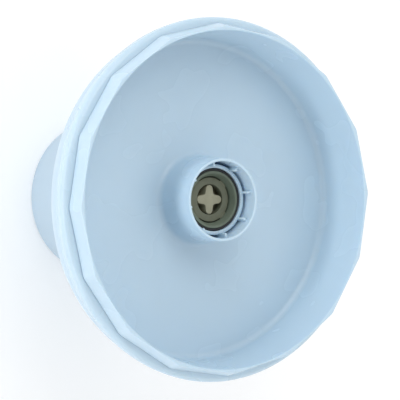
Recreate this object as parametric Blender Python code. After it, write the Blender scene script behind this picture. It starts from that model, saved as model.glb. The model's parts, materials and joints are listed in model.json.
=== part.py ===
"""Floating chlorine dispenser: a ring float with a faceted screw-on dish lid, a vent valve in the
middle of the lid, and a tablet canister below with a dosing dial in its foot.

+Z points up out of the dish. The origin is the centre of the canister's foot. Lengths are in
millimetres, and mesh_object turns them into metres."""

import math

import bmesh
import bpy
from mathutils import Vector

MM = 0.001

# Driving dimensions
HEIGHT = 150.0  # canister foot to the rim of the dish
RIM_RADIUS = 97.0  # inner edge of the rim
DISH_DEPTH = 36.0
FACETS = 16
FACET_TURN = math.radians(2.5)  # the first corner of the faceted rim, from +X
WALL = 2.0
GAP = 0.3  # between pieces that touch
RUN = 0.5  # between pieces that turn or slide past each other
CANISTER_RADIUS = 47.7
CANISTER_BORE = 45.0
THREAD_LEAD = 12.0
THREAD_STARTS = 2
THREAD_SWEEP = math.radians(144)
RIDGE_HEIGHT = 1.8

# Lid
FLOOR_Z = HEIGHT - DISH_DEPTH
UNDER_Z = FLOOR_Z - WALL
SKIRT_Z = HEIGHT - 9.3  # lower edge of the faceted rim
RIM_CORNER = 1.03 * RIM_RADIUS
SKIRT_CORNER = 1.052 * RIM_RADIUS
SKIRT_INNER = RIM_RADIUS + 1.2
COVE = 4.0  # fillet between the dish's floor and wall
WALL_FOOT = RIM_RADIUS - 3.0
COLLAR_BORE = 50.2
COLLAR_RADIUS = 53.5
COLLAR_Z = 96.0
NECK_THREAD_Z = COLLAR_Z + 5.2  # where the neck's ridges start
COLLAR_THREAD_Z = NECK_THREAD_Z - THREAD_LEAD / THREAD_STARTS / 2  # midway between the neck's ridges

# Boss and vent valve
BOSS_Z = HEIGHT - 7.9
BOSS_RADIUS = 23.9
BOSS_BORE = 22.3
BOSS_FOOT = 25.2  # the boss's radius above its fillet
BOSS_FOOT_Z = FLOOR_Z + 3.7
SOCKET_RADIUS = 20.6
SOCKET_BORE = 18.4
SOCKET_Z = BOSS_Z - 9.3
CHANNEL_Z = FLOOR_Z + WALL
BOSS_RIBS = 8
RIB_TURN = math.radians(12)
RIB_Z = BOSS_Z - 3.6
SEAT_Z = FLOOR_Z
SEAT_BORE = 10.0
VALVE_FACE_Z = SOCKET_Z - 1.0
VALVE_SHOULDER_Z = VALVE_FACE_Z - 2.0
VALVE_BORE = 13.6
VALVE_HOLE = 6.5
VALVE_CLEARANCE = 0.4  # between the valve body and its socket
O_RING_THICKNESS = 0.9  # radius of the ring's section
RETAINER_Z = VALVE_FACE_Z - 4.0
RETAINER_LOW_Z = RETAINER_Z - 1.8
VALVE_CONE_Z = RETAINER_Z + 0.6  # where the cone round the valve body's mouth ends
GUIDE_BORE = 8.8
SEAL_THICKNESS = 1.5
POPPET_HEAD_Z = SEAT_Z + WALL + SEAL_THICKNESS + 3 * GAP
POPPET_Z = RETAINER_Z - 0.4

# Float
LEDGE_Z = SKIRT_Z - 0.4
BEAD_RADIUS = 105.4
BEAD_Z = HEIGHT - 13.3
BILGE_RADIUS = 16.0
BILGE_Z = 126.0
BILGE_ANGLE = math.radians(40)
PAN_RADIUS = 102.3
PAN_Z = 88.0
HUB_RADIUS = 62.5
HUB_Z = PAN_Z - 4.0
PAN_BORE = CANISTER_RADIUS + 0.6

# Canister
FLANGE_Z = PAN_Z + 3.8
FLANGE_TOP = FLANGE_Z + 2.4
NECK_Z = UNDER_Z - 2.5
FOOT_BORE = 43.5
WEB_Z = 14.0
WEB_TOP = 16.5
PORTS = 4
PORT_HALF_ANGLE = math.radians(19)
PORT_INNER = 12.0
PORT_OUTER = 38.0
CANISTER_BOSS = 7.0  # radius of the web's middle, which takes the dial's screw
CANISTER_BOSS_TOP = WEB_TOP + 9.5
SCREW_CIRCLE = 57.4
SCREW_RADIUS = 1.5
SCREW_HOLE = 1.9
SCREW_HEAD = 2.9
SCREW_HEAD_HEIGHT = 1.7
DIAL_SCREW_RADIUS = 2.3
DIAL_SEAT_Z = 7.6  # where the dial's hub rests on the washer
DIAL_GRIP_Z = 2.2
DIAL_PLATE = 3.0

COLOURS = {
    # name: (red, green, blue as displayed, roughness, metallic)
    "pale_blue": (0.74, 0.85, 0.92, 0.38, 0.0),
    "float_blue": (0.70, 0.83, 0.90, 0.42, 0.0),
    "valve_grey": (0.38, 0.37, 0.33, 0.5, 0.0),
    "stem_beige": (0.62, 0.60, 0.50, 0.45, 0.0),
    "black_rubber": (0.03, 0.03, 0.035, 0.6, 0.0),
    "white_foam": (0.93, 0.94, 0.94, 0.9, 0.0),
    "stainless": (0.66, 0.67, 0.68, 0.3, 1.0),
}


def clear_scene():
    for obj in list(bpy.data.objects):
        bpy.data.objects.remove(obj)


def material(name):
    found = bpy.data.materials.get(name)
    if found:
        return found
    red, green, blue, roughness, metallic = COLOURS[name]
    made = bpy.data.materials.new(name)
    made.use_nodes = True
    shader = made.node_tree.nodes["Principled BSDF"]
    linear = [channel**2.2 for channel in (red, green, blue)]
    shader.inputs["Base Color"].default_value = (*linear, 1.0)
    shader.inputs["Roughness"].default_value = roughness
    shader.inputs["Metallic"].default_value = metallic
    return made


def mesh_object(name, bm, colour, origin=(0.0, 0.0, 0.0)):
    """Makes a named object of a mesh in millimetres, with its origin at the given point."""
    bmesh.ops.recalc_face_normals(bm, faces=bm.faces[:])
    bmesh.ops.translate(bm, verts=bm.verts[:], vec=-Vector(origin))
    bmesh.ops.scale(bm, verts=bm.verts[:], vec=(MM, MM, MM))
    mesh = bpy.data.meshes.new(name)
    bm.to_mesh(mesh)
    bm.free()
    mesh.shade_smooth()
    mesh.set_sharp_from_angle(angle=math.radians(32))
    obj = bpy.data.objects.new(name, mesh)
    obj.location = Vector(origin) * MM
    bpy.context.scene.collection.objects.link(obj)
    if colour:
        mesh.materials.append(material(colour))
    return obj


def combine(obj, name, bm, operation):
    """Joins a mesh to an object, or cuts it away, with a Boolean and a hidden helper."""
    helper = mesh_object(name, bm, None)
    helper.hide_render = True
    helper.display_type = "WIRE"
    modifier = obj.modifiers.new(name, "BOOLEAN")
    modifier.solver = "EXACT"
    modifier.operation = operation
    modifier.object = helper


def arc(centre, radius, start, end, steps):
    """Points of an arc in the (radius, height) plane; angles in degrees from +radius."""
    points = []
    for step in range(steps + 1):
        angle = math.radians(start + (end - start) * step / steps)
        points.append((centre[0] + radius * math.cos(angle), centre[1] + radius * math.sin(angle)))
    return points


def steps_at(radius):
    """Steps round a circle. The three counts are multiples of each other, so that rings can be bridged."""
    if radius > 40.0:
        return 48
    return 24 if radius > 4.0 else 12


def ring_of(bm, point):
    """One ring of vertices. A point with a third value lies on the faceted rim, by its corner radius."""
    radius, height = point[:2]
    if radius == 0.0:
        return [bm.verts.new((0.0, 0.0, height))]
    facet = math.tau / FACETS
    verts = []
    steps = steps_at(radius)
    for step in range(steps):
        turn = math.tau * step / steps
        reach = radius
        if len(point) == 3:
            reach *= math.cos(facet / 2) / math.cos(turn % facet - facet / 2)
        angle = turn + FACET_TURN
        verts.append(bm.verts.new((reach * math.cos(angle), reach * math.sin(angle), height)))
    return verts


def bridge(bm, first, second):
    """Faces between two rings, one count a multiple of the other, or between a ring and a pole."""
    if len(first) < len(second):
        first, second = second, first
    many = len(first)
    if len(second) == 1:
        for step in range(many):
            bm.faces.new((first[step], first[(step + 1) % many], second[0]))
        return
    if len(second) == many:
        for step in range(many):
            ahead = (step + 1) % many
            bm.faces.new((first[step], first[ahead], second[ahead], second[step]))
        return
    share = many // len(second)
    for step, near in enumerate(second):
        far = second[(step + 1) % len(second)]
        edge = [first[(share * step + k) % many] for k in range(share + 1)]
        for k in range(share):
            bm.faces.new((edge[k], edge[k + 1], near if k < share // 2 else far))
        bm.faces.new((near, edge[share // 2], far))


def turned(outline):
    """A solid of revolution about Z. The outline is closed, unless both its ends are on the axis."""
    bm = bmesh.new()
    rings = [ring_of(bm, point) for point in outline]
    for first, second in zip(rings, rings[1:]):
        bridge(bm, first, second)
    if len(rings[0]) > 1:
        bridge(bm, rings[-1], rings[0])
    return bm


def prism(bm, outline, bottom, top):
    """Adds a straight prism on a flat outline of (x, y) points to the mesh."""
    low = [bm.verts.new((x, y, bottom)) for x, y in outline]
    high = [bm.verts.new((x, y, top)) for x, y in outline]
    bm.faces.new(low)
    bm.faces.new(high)
    count = len(outline)
    for step in range(count):
        ahead = (step + 1) % count
        bm.faces.new((low[step], low[ahead], high[ahead], high[step]))


def rectangle(x_range, y_range, turn=0.0):
    (left, right), (front, back) = x_range, y_range
    return rotated([(left, front), (right, front), (right, back), (left, back)], turn)


def rotated(points, turn):
    cos, sin = math.cos(turn), math.sin(turn)
    return [(x * cos - y * sin, x * sin + y * cos) for x, y in points]


def circle(radius, steps, centre=(0.0, 0.0)):
    angles = [math.tau * step / steps for step in range(steps)]
    return [(centre[0] + radius * math.cos(a), centre[1] + radius * math.sin(a)) for a in angles]


def helical_ridges(root, tip, height):
    """The thread's ridges, standing from the root radius to the tip radius, one for each start."""
    bm = bmesh.new()
    root_half, tip_half = 1.5, 0.8
    sunk = root + math.copysign(0.6, root - tip)
    steps = 19
    for start in range(THREAD_STARTS):
        first = math.tau * start / THREAD_STARTS + math.radians(10)
        sections = []
        for step in range(steps + 1):
            angle = THREAD_SWEEP * step / steps
            middle = height + THREAD_LEAD * angle / math.tau
            section = [(sunk, middle - root_half), (tip, middle - tip_half)]
            section += [(tip, middle + tip_half), (sunk, middle + root_half)]
            cos, sin = math.cos(first + angle), math.sin(first + angle)
            sections.append([bm.verts.new((r * cos, r * sin, z)) for r, z in section])
        for before, after in zip(sections, sections[1:]):
            for side in range(4):
                ahead = (side + 1) % 4
                bm.faces.new((before[side], before[ahead], after[ahead], after[side]))
        bm.faces.new(sections[0])
        bm.faces.new(sections[-1])
    return bm


def port_cutters(bottom, top):
    """The dosing ports: sectors of a ring, clear of the dial's grip bar when open."""
    bm = bmesh.new()
    steps = 6
    for port in range(PORTS):
        middle = math.tau * (port + 0.5) / PORTS
        outline = []
        for radius, direction in ((PORT_OUTER, 1), (PORT_INNER, -1)):
            for step in range(steps + 1):
                angle = middle + direction * PORT_HALF_ANGLE * (2 * step / steps - 1)
                outline.append((radius * math.cos(angle), radius * math.sin(angle)))
        prism(bm, outline, bottom, top)
    return bm


def screw_places():
    """The canister screws stand on a circle outside the lid's collar."""
    return [rotated([(SCREW_CIRCLE, 0.0)], math.radians(45 + 90 * step))[0] for step in range(4)]


def screw_holes(radius, bottom, top):
    bm = bmesh.new()
    for place in screw_places():
        prism(bm, circle(radius, 12, place), bottom, top)
    return bm


# Float


def float_pan():
    """The hull: an upright wall, a rounded bilge, a cone and a flat bottom with a screw hub."""
    centre = (PAN_RADIUS - BILGE_RADIUS, BILGE_Z)
    lower = math.degrees(BILGE_ANGLE)
    outer = arc(centre, BILGE_RADIUS, 0, -lower, 3)
    inner = arc(centre, BILGE_RADIUS - WALL, -lower, 0, 3)
    fall = math.tan(BILGE_ANGLE)
    cone_end = PAN_Z + 4.0
    cone_outer = outer[-1][0] - (outer[-1][1] - cone_end) * fall
    cone_inner = inner[0][0] - (inner[0][1] - cone_end - WALL) * fall
    outline = [(PAN_RADIUS + 0.7, LEDGE_Z - WALL - GAP)]
    outline += outer
    outline += [(cone_outer, cone_end), (cone_outer - 2.2, PAN_Z + 1.2), (cone_outer - 5.5, PAN_Z)]
    outline += [(HUB_RADIUS + 0.6, PAN_Z), (HUB_RADIUS + 0.6, HUB_Z + 0.5), (HUB_RADIUS, HUB_Z)]
    outline += [(PAN_BORE, HUB_Z), (PAN_BORE, PAN_Z + WALL)]
    outline += [(cone_inner - 4.5, PAN_Z + WALL), (cone_inner, cone_end + WALL)]
    outline += inner
    outline += [(PAN_RADIUS - WALL + 0.7, LEDGE_Z - WALL - GAP)]
    pan = mesh_object("float_pan", turned(outline), "float_blue")
    combine(pan, "pan_screw_holes", screw_holes(SCREW_HOLE, HUB_Z + 1.5, PAN_Z + WALL + 1.0), "DIFFERENCE")


def float_rim_ring():
    """The rounded band that snaps over the hull's wall and carries the ledge under the faceted rim."""
    hull_inner = PAN_RADIUS - WALL + 0.7
    hull_outer = PAN_RADIUS + 0.7
    lip_z = BEAD_Z - 4.6
    bead = arc((BEAD_RADIUS - 3.4, BEAD_Z), 3.4, 78, -16, 5)
    outline = [(SKIRT_INNER + RUN, LEDGE_Z), (SKIRT_CORNER - 1.2, LEDGE_Z)]
    outline += bead
    outline += [(BEAD_RADIUS - 0.5, lip_z), (hull_outer + GAP, lip_z)]
    outline += [(hull_outer + GAP, LEDGE_Z - WALL), (hull_inner - GAP, LEDGE_Z - WALL)]
    outline += [(hull_inner - GAP, BEAD_Z - 3.0), (SKIRT_INNER + RUN, BEAD_Z - 3.0)]
    mesh_object("float_rim_ring", turned(outline), "pale_blue")


def cone_radius(height):
    """Radius of the hull's inner cone at a height."""
    start = PAN_RADIUS - BILGE_RADIUS + (BILGE_RADIUS - WALL) * math.cos(BILGE_ANGLE)
    start_z = BILGE_Z - (BILGE_RADIUS - WALL) * math.sin(BILGE_ANGLE)
    return start - (start_z - height) * math.tan(BILGE_ANGLE)


def float_foam():
    """Closed-cell foam that keeps the hull afloat when the lid is off."""
    bottom = PAN_Z + WALL + 0.4
    top = UNDER_Z - 5.1
    outline = [(HUB_RADIUS + 0.6, bottom), (cone_radius(bottom) - 6.0, bottom)]
    outline += [(cone_radius(bottom + 5.0) - 0.6, bottom + 5.0)]
    outline += [(cone_radius(top) - 0.6, top), (HUB_RADIUS + 0.6, top)]
    mesh_object("float_foam", turned(outline), "white_foam")


def foam_cover():
    """The deck plate that holds the foam down, with a stiffening lip round its middle."""
    bottom = UNDER_Z - 4.8
    top = bottom + 1.8
    inner = COLLAR_RADIUS + 2.5
    outline = [(inner, bottom - 4.0), (inner + 1.6, bottom - 4.0), (inner + 1.6, bottom)]
    outline += [(cone_radius(bottom) - 0.5, bottom), (cone_radius(top) - 0.5, top), (inner, top)]
    mesh_object("foam_cover", turned(outline), "float_blue")


# Canister


def tablet_canister():
    """The tube that holds the tablets: ports in its web, a flange for the hull and a threaded neck."""
    outline = [(0.0, CANISTER_BOSS_TOP), (CANISTER_BOSS, CANISTER_BOSS_TOP), (CANISTER_BOSS, WEB_TOP)]
    outline += [(CANISTER_BORE, WEB_TOP)]
    outline += [(CANISTER_BORE, NECK_Z - 0.5), (CANISTER_BORE + 0.5, NECK_Z)]
    outline += [(CANISTER_RADIUS - 0.5, NECK_Z), (CANISTER_RADIUS, NECK_Z - 0.5)]
    outline += [(CANISTER_RADIUS, FLANGE_TOP), (HUB_RADIUS, FLANGE_TOP), (HUB_RADIUS, FLANGE_Z)]
    outline += [(CANISTER_RADIUS, FLANGE_Z), (CANISTER_RADIUS, 1.2), (CANISTER_RADIUS - 0.4, 0.35)]
    outline += [(CANISTER_RADIUS - 1.2, 0.0), (FOOT_BORE + 0.5, 0.0), (FOOT_BORE, 0.5), (FOOT_BORE, WEB_Z)]
    outline += [(DIAL_SCREW_RADIUS + GAP, WEB_Z), (DIAL_SCREW_RADIUS + GAP, CANISTER_BOSS_TOP - 2.0)]
    outline += [(0.0, CANISTER_BOSS_TOP - 2.0)]
    canister = mesh_object("tablet_canister", turned(outline), "pale_blue")
    ridges = helical_ridges(CANISTER_RADIUS, CANISTER_RADIUS + RIDGE_HEIGHT, NECK_THREAD_Z)
    combine(canister, "neck_thread", ridges, "UNION")
    combine(canister, "canister_ports", port_cutters(WEB_Z - 1.0, WEB_TOP + 1.0), "DIFFERENCE")
    holes = screw_holes(SCREW_HOLE, FLANGE_Z - 1.0, FLANGE_TOP + 1.0)
    combine(canister, "flange_holes", holes, "DIFFERENCE")


def canister_gasket():
    bottom = PAN_Z + WALL + GAP
    top = FLANGE_Z - GAP
    outline = [(PAN_BORE, bottom), (HUB_RADIUS, bottom), (HUB_RADIUS, top), (PAN_BORE, top)]
    gasket = mesh_object("canister_gasket", turned(outline), "black_rubber")
    combine(gasket, "gasket_holes", screw_holes(SCREW_HOLE, bottom - 1.0, top + 1.0), "DIFFERENCE")


def canister_screws():
    """Round-headed screws with a flat recess for the driver, from the flange into the hull's hub."""
    head_z = FLANGE_TOP + GAP
    head_top = head_z + SCREW_HEAD_HEIGHT
    tip_z = HUB_Z + 2.0
    for number, place in enumerate(screw_places(), 1):
        outline = [(0.0, tip_z), (0.9, tip_z), (SCREW_RADIUS, tip_z + 1.2), (SCREW_RADIUS, head_z)]
        outline += [(SCREW_HEAD, head_z), (SCREW_HEAD, head_top - 0.8), (SCREW_HEAD - 0.7, head_top)]
        outline += [(1.3, head_top), (1.3, head_top - 1.1), (0.0, head_top - 1.1)]
        bm = turned(outline)
        bmesh.ops.translate(bm, verts=bm.verts[:], vec=(*place, 0.0))
        mesh_object(f"canister_screw_{number}", bm, "stainless", (*place, head_z))


def tablet_grate():
    """The slotted plate that keeps the tablets off the ports, on a skirt that stands on the web."""
    radius = CANISTER_BORE - RUN
    bottom = WEB_TOP + GAP
    plate = bottom + 3.2
    top = plate + WALL
    outline = [(7.8, plate), (radius - 1.8, plate), (radius - 1.8, bottom), (radius, bottom)]
    outline += [(radius, top), (7.8, top)]
    grate = mesh_object("tablet_grate", turned(outline), "float_blue")
    bm = bmesh.new()
    reach = radius - 4.5
    for x in (-31.0, -21.0, -11.0, 11.0, 21.0, 31.0):
        half = math.sqrt(reach**2 - (abs(x) + 2.5) ** 2)
        prism(bm, rectangle((x - 2.5, x + 2.5), (-half, half)), plate - 1.0, top + 1.0)
    for side in (-1, 1):
        ends = sorted((side * 11.0, side * (reach - 1.0)))
        prism(bm, rectangle((-2.5, 2.5), ends), plate - 1.0, top + 1.0)
    combine(grate, "grate_slots", bm, "DIFFERENCE")


def dosing_dial():
    """The disc that opens and closes the ports, turned by a bar across its lower face."""
    top = WEB_Z - GAP
    bottom = top - DIAL_PLATE
    edge = FOOT_BORE - RUN
    outline = [(DIAL_SCREW_RADIUS + 0.4, top), (edge - 0.4, top), (edge, top - 0.4), (edge, bottom + 0.4)]
    outline += [(edge - 0.4, bottom), (8.6, bottom), (8.6, DIAL_GRIP_Z + 0.4)]
    outline += [(8.2, DIAL_GRIP_Z), (5.6, DIAL_GRIP_Z), (5.6, DIAL_SEAT_Z)]
    outline += [(DIAL_SCREW_RADIUS + 0.4, DIAL_SEAT_Z)]
    dial = mesh_object("dosing_dial", turned(outline), "float_blue", (0.0, 0.0, WEB_Z))
    bm = bmesh.new()
    for turn in (0.0, math.pi):
        prism(bm, rectangle((7.4, 37.5), (-3.6, 3.6), turn), DIAL_GRIP_Z + 0.6, bottom + 0.6)
    combine(dial, "dial_grip", bm, "UNION")
    combine(dial, "dial_ports", port_cutters(bottom - 1.0, top + 1.0), "DIFFERENCE")


def dial_screw():
    head_top = DIAL_SEAT_Z - 1.3
    head_z = head_top - 2.6
    tip = WEB_TOP + 6.5
    outline = [(0.0, head_z + 1.2), (1.8, head_z + 1.2), (1.8, head_z), (4.1, head_z), (4.8, head_z + 0.7)]
    outline += [(4.8, head_top), (DIAL_SCREW_RADIUS, head_top), (DIAL_SCREW_RADIUS, tip - 1.2)]
    outline += [(1.4, tip), (0.0, tip)]
    mesh_object("dial_screw", turned(outline), "stainless", (0.0, 0.0, head_top))


def dial_washer():
    bottom = DIAL_SEAT_Z - 1.0
    top = DIAL_SEAT_Z - GAP
    inner = DIAL_SCREW_RADIUS + 0.4
    outline = [(inner, bottom), (5.2, bottom), (5.2, top), (inner, top)]
    mesh_object("dial_washer", turned(outline), "stainless")


# Lid


def lid_dish():
    """The lid: faceted rim, deep dish, boss with a ribbed socket, and the threaded collar below."""
    cove_centre = (WALL_FOOT - COVE, FLOOR_Z + COVE)
    outline = [(RIM_RADIUS, HEIGHT - 0.5), (RIM_RADIUS + 0.4, HEIGHT), (RIM_CORNER - 0.4, HEIGHT, True)]
    outline += [(RIM_CORNER, HEIGHT - 0.5, True), (SKIRT_CORNER, SKIRT_Z, True), (SKIRT_INNER, SKIRT_Z)]
    outline += arc(cove_centre, COVE + WALL, 0, -90, 4)
    outline += [(COLLAR_RADIUS, UNDER_Z), (COLLAR_RADIUS, COLLAR_Z + 0.5), (COLLAR_RADIUS - 0.5, COLLAR_Z)]
    outline += [(COLLAR_BORE + 0.6, COLLAR_Z), (COLLAR_BORE, COLLAR_Z + 0.6), (COLLAR_BORE, UNDER_Z)]
    outline += [(SEAT_BORE, UNDER_Z), (SEAT_BORE, SEAT_Z), (SOCKET_BORE, SEAT_Z)]
    outline += [(SOCKET_BORE, SOCKET_Z - 0.4), (SOCKET_BORE + 0.4, SOCKET_Z)]
    outline += [(SOCKET_RADIUS - 0.4, SOCKET_Z), (SOCKET_RADIUS, SOCKET_Z - 0.4)]
    outline += [(SOCKET_RADIUS, CHANNEL_Z), (BOSS_BORE, CHANNEL_Z), (BOSS_BORE, BOSS_Z - 0.4)]
    outline += [(BOSS_BORE + 0.5, BOSS_Z), (BOSS_RADIUS - 0.5, BOSS_Z), (BOSS_RADIUS, BOSS_Z - 0.5)]
    outline += arc((BOSS_FOOT + 3.7, BOSS_FOOT_Z), 3.7, 180, 270, 3)
    outline += arc(cove_centre, COVE, -90, 0, 4)
    lid = mesh_object("lid_dish", turned(outline), "pale_blue", (0.0, 0.0, UNDER_Z))
    bm = bmesh.new()
    for rib in range(BOSS_RIBS):
        turn = RIB_TURN + math.tau * rib / BOSS_RIBS
        across = (SOCKET_RADIUS - 0.9, BOSS_BORE + 0.6)
        prism(bm, rectangle(across, (-0.6, 0.6), turn), CHANNEL_Z - 0.8, RIB_Z)
    combine(lid, "boss_ribs", bm, "UNION")
    ridges = helical_ridges(COLLAR_BORE, COLLAR_BORE - RIDGE_HEIGHT, COLLAR_THREAD_Z)
    combine(lid, "collar_thread", ridges, "UNION")


def lid_gasket():
    bottom = NECK_Z + GAP
    top = UNDER_Z - GAP
    outline = [(CANISTER_BORE - 0.6, bottom), (COLLAR_BORE - 0.5, bottom)]
    outline += [(COLLAR_BORE - 0.5, top), (CANISTER_BORE - 0.6, top)]
    mesh_object("lid_gasket", turned(outline), "black_rubber")


def valve_body():
    """The grey cup pressed into the socket, with the valve's seat in its bottom."""
    bottom = SEAT_Z + GAP
    radius = SOCKET_BORE - VALVE_CLEARANCE
    shoulder_radius = radius - 2 * O_RING_THICKNESS
    outline = [(VALVE_HOLE, bottom), (radius - 0.4, bottom), (radius, bottom + 0.4)]
    outline += [(radius, VALVE_SHOULDER_Z), (shoulder_radius, VALVE_SHOULDER_Z)]
    outline += [(shoulder_radius, VALVE_FACE_Z), (shoulder_radius - 0.8, VALVE_FACE_Z)]
    outline += [(VALVE_BORE, VALVE_CONE_Z), (VALVE_BORE, bottom + WALL), (VALVE_HOLE, bottom + WALL)]
    mesh_object("valve_body", turned(outline), "valve_grey")


def valve_o_ring():
    """The seal round the face of the valve body."""
    middle = SOCKET_BORE - GAP - O_RING_THICKNESS + 0.05
    centre = (middle, VALVE_SHOULDER_Z + GAP + O_RING_THICKNESS)
    section = arc(centre, O_RING_THICKNESS, 0, 315, 7)
    mesh_object("valve_o_ring", turned(section), "black_rubber")


def valve_retainer():
    """The guide that snaps into the valve body on four lugs and holds the spring."""
    radius = VALVE_BORE - 0.7
    sleeve_radius = GUIDE_BORE + 0.9
    sleeve_z = RETAINER_LOW_Z - 2.5
    outline = [(GUIDE_BORE, RETAINER_Z), (radius, RETAINER_Z), (radius, RETAINER_LOW_Z)]
    outline += [(sleeve_radius, RETAINER_LOW_Z), (sleeve_radius, sleeve_z), (GUIDE_BORE, sleeve_z)]
    retainer = mesh_object("valve_retainer", turned(outline), "valve_grey")
    bm = bmesh.new()
    for lug in range(4):
        across = rectangle((radius - 0.8, VALVE_BORE - 0.45), (-2.6, 2.6), math.radians(45 + 90 * lug))
        prism(bm, across, RETAINER_LOW_Z + 0.4, RETAINER_Z - 0.3)
    combine(retainer, "retainer_lugs", bm, "UNION")


def cross_outline():
    """The stem's section: four round-ended lobes with rounded corners between them."""
    half_width = 2.4
    reach = GUIDE_BORE - 0.35 - half_width
    outline = []
    for lobe in range(4):
        end = arc((reach, 0.0), half_width, -90, 90, 6)
        corner = rotated([(4.3, 0.0)], math.radians(45))
        outline += rotated(end + corner, math.radians(90 * lobe))
    return outline


def valve_poppet():
    """The cross-shaped stem on the valve's head; it slides up to let gas out."""
    outline = [(0.0, POPPET_HEAD_Z - 3.0), (4.8, POPPET_HEAD_Z - 3.0), (5.2, POPPET_HEAD_Z - 2.6)]
    outline += [(5.2, POPPET_HEAD_Z), (11.3, POPPET_HEAD_Z), (11.3, POPPET_HEAD_Z + WALL)]
    outline += [(0.0, POPPET_HEAD_Z + WALL)]
    poppet = mesh_object("valve_poppet", turned(outline), "stem_beige", (0.0, 0.0, POPPET_HEAD_Z))
    bm = bmesh.new()
    prism(bm, cross_outline(), POPPET_HEAD_Z + WALL - 0.5, POPPET_Z)
    combine(poppet, "poppet_stem", bm, "UNION")


def poppet_seal():
    top = POPPET_HEAD_Z - GAP
    bottom = top - SEAL_THICKNESS
    outline = [(5.5, bottom), (11.0, bottom), (11.0, top), (5.5, top)]
    mesh_object("poppet_seal", turned(outline), "black_rubber", (0.0, 0.0, POPPET_HEAD_Z))


def valve_spring():
    """A coil between the poppet's head and the retainer, round the retainer's sleeve."""
    wire = 0.35
    turns = 2
    steps = 16
    low = POPPET_HEAD_Z + WALL + GAP + wire
    high = RETAINER_LOW_Z - GAP - wire
    curve = bpy.data.curves.new("valve_spring", "CURVE")
    curve.dimensions = "3D"
    curve.bevel_depth = wire * MM
    curve.bevel_resolution = 1
    curve.use_fill_caps = True
    spline = curve.splines.new("POLY")
    spline.points.add(turns * steps)
    for index, point in enumerate(spline.points):
        share = index / (turns * steps)
        angle = math.tau * turns * share
        place = Vector((10.5 * math.cos(angle), 10.5 * math.sin(angle), low + (high - low) * share)) * MM
        point.co = (*place, 1.0)
    curve.materials.append(material("stainless"))
    bpy.context.scene.collection.objects.link(bpy.data.objects.new("valve_spring", curve))


def main():
    clear_scene()
    float_pan()
    float_rim_ring()
    float_foam()
    foam_cover()
    tablet_canister()
    canister_gasket()
    canister_screws()
    tablet_grate()
    dosing_dial()
    dial_screw()
    dial_washer()
    lid_dish()
    lid_gasket()
    valve_body()
    valve_o_ring()
    valve_retainer()
    valve_spring()
    valve_poppet()
    poppet_seal()


main()
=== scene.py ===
"""The floating chlorine dispenser's looks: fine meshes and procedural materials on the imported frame.

Lengths are in millimetres inside the outlines, and build_object turns them into metres."""

import json
import math

import bmesh
import bpy
from mathutils import Matrix, Vector


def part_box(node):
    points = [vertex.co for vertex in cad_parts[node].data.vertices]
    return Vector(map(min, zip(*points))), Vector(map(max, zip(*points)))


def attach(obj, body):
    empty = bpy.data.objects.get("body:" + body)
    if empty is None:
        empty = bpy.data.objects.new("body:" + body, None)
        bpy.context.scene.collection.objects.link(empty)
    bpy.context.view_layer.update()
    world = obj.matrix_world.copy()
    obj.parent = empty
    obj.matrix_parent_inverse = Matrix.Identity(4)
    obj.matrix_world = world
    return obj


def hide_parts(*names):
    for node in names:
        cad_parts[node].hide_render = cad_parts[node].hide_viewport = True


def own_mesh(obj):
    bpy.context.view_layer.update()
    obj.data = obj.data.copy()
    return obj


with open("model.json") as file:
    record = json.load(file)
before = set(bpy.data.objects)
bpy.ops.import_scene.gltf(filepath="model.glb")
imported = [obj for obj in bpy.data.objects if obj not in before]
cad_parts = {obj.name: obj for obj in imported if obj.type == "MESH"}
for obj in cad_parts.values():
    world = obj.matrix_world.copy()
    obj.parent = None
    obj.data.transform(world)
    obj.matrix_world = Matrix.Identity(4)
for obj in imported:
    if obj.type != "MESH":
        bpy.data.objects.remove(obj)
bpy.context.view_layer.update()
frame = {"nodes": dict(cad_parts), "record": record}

MM = 0.001


def low(node):
    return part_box(node)[0] / MM


def high(node):
    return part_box(node)[1] / MM


# The rim's facets: +X is FACET_TURN clockwise of a corner
FACETS = 16
FACET = math.tau / FACETS
FACET_TURN = math.radians(2.5)

# Sizes read from the frame, in millimetres
HEIGHT = high("lid_dish").z
SKIRT_CORNER = high("lid_dish").x / math.cos(FACET_TURN)
COLLAR_Z = low("lid_dish").z
LEDGE_Z = high("float_rim_ring").z
BEAD_RADIUS = high("float_rim_ring").y / math.cos(FACET_TURN)
LIP_Z = low("float_rim_ring").z
PAN_LOW_Z = low("float_pan").z
HULL_TOP_Z = high("float_pan").z
NECK_Z = high("tablet_canister").z
DIAL_TOP = high("dosing_dial").z
DIAL_LOW = low("dosing_dial").z
GRATE_TOP = high("tablet_grate").z
GRATE_LOW = low("tablet_grate").z
VALVE_FACE_Z = high("valve_body").z
VALVE_LOW_Z = low("valve_body").z
STEM_TOP = high("valve_poppet").z
STEM_LOW = low("valve_poppet").z
RETAINER_Z = high("valve_retainer").z
GUIDE_LOW = low("valve_retainer").z

# Sizes that follow from them, or that the frame's boxes don't show
RIM_RADIUS = SKIRT_CORNER / 1.052
RIM_CORNER = 1.03 * RIM_RADIUS
HULL_BORE = 101.0
HULL_RADIUS = 103.0
PAN_Z = PAN_LOW_Z + 4.0  # the hull's underside, outside the thick ring below the flange
CANISTER_BORE = 45.0
CANISTER_RADIUS = CANISTER_BORE + 2.7
CANISTER_FOOT_BORE = 43.5
FLANGE_RADIUS = 62.5
WEB_Z = 14.0
WEB_TOP = 16.5
RIM_DRAFT = 3.0  # how much smaller the dish is in radius at its foot than at its rim
SKIRT_Z = LEDGE_Z + 0.4
SKIRT_INNER = RIM_RADIUS + 1.2
FLOOR_Z = HEIGHT - 36.0
WALL = 2.0
UNDER_Z = FLOOR_Z - WALL
WALL_FOOT = RIM_RADIUS - RIM_DRAFT
COVE = 4.0
COLLAR_BORE = 50.2
COLLAR_RADIUS = 53.5
BOSS_Z = HEIGHT - 7.9
BOSS_RADIUS = 23.9
BOSS_BORE = 22.3
BOSS_FOOT = 25.2
BOSS_FILLET = 3.7
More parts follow.
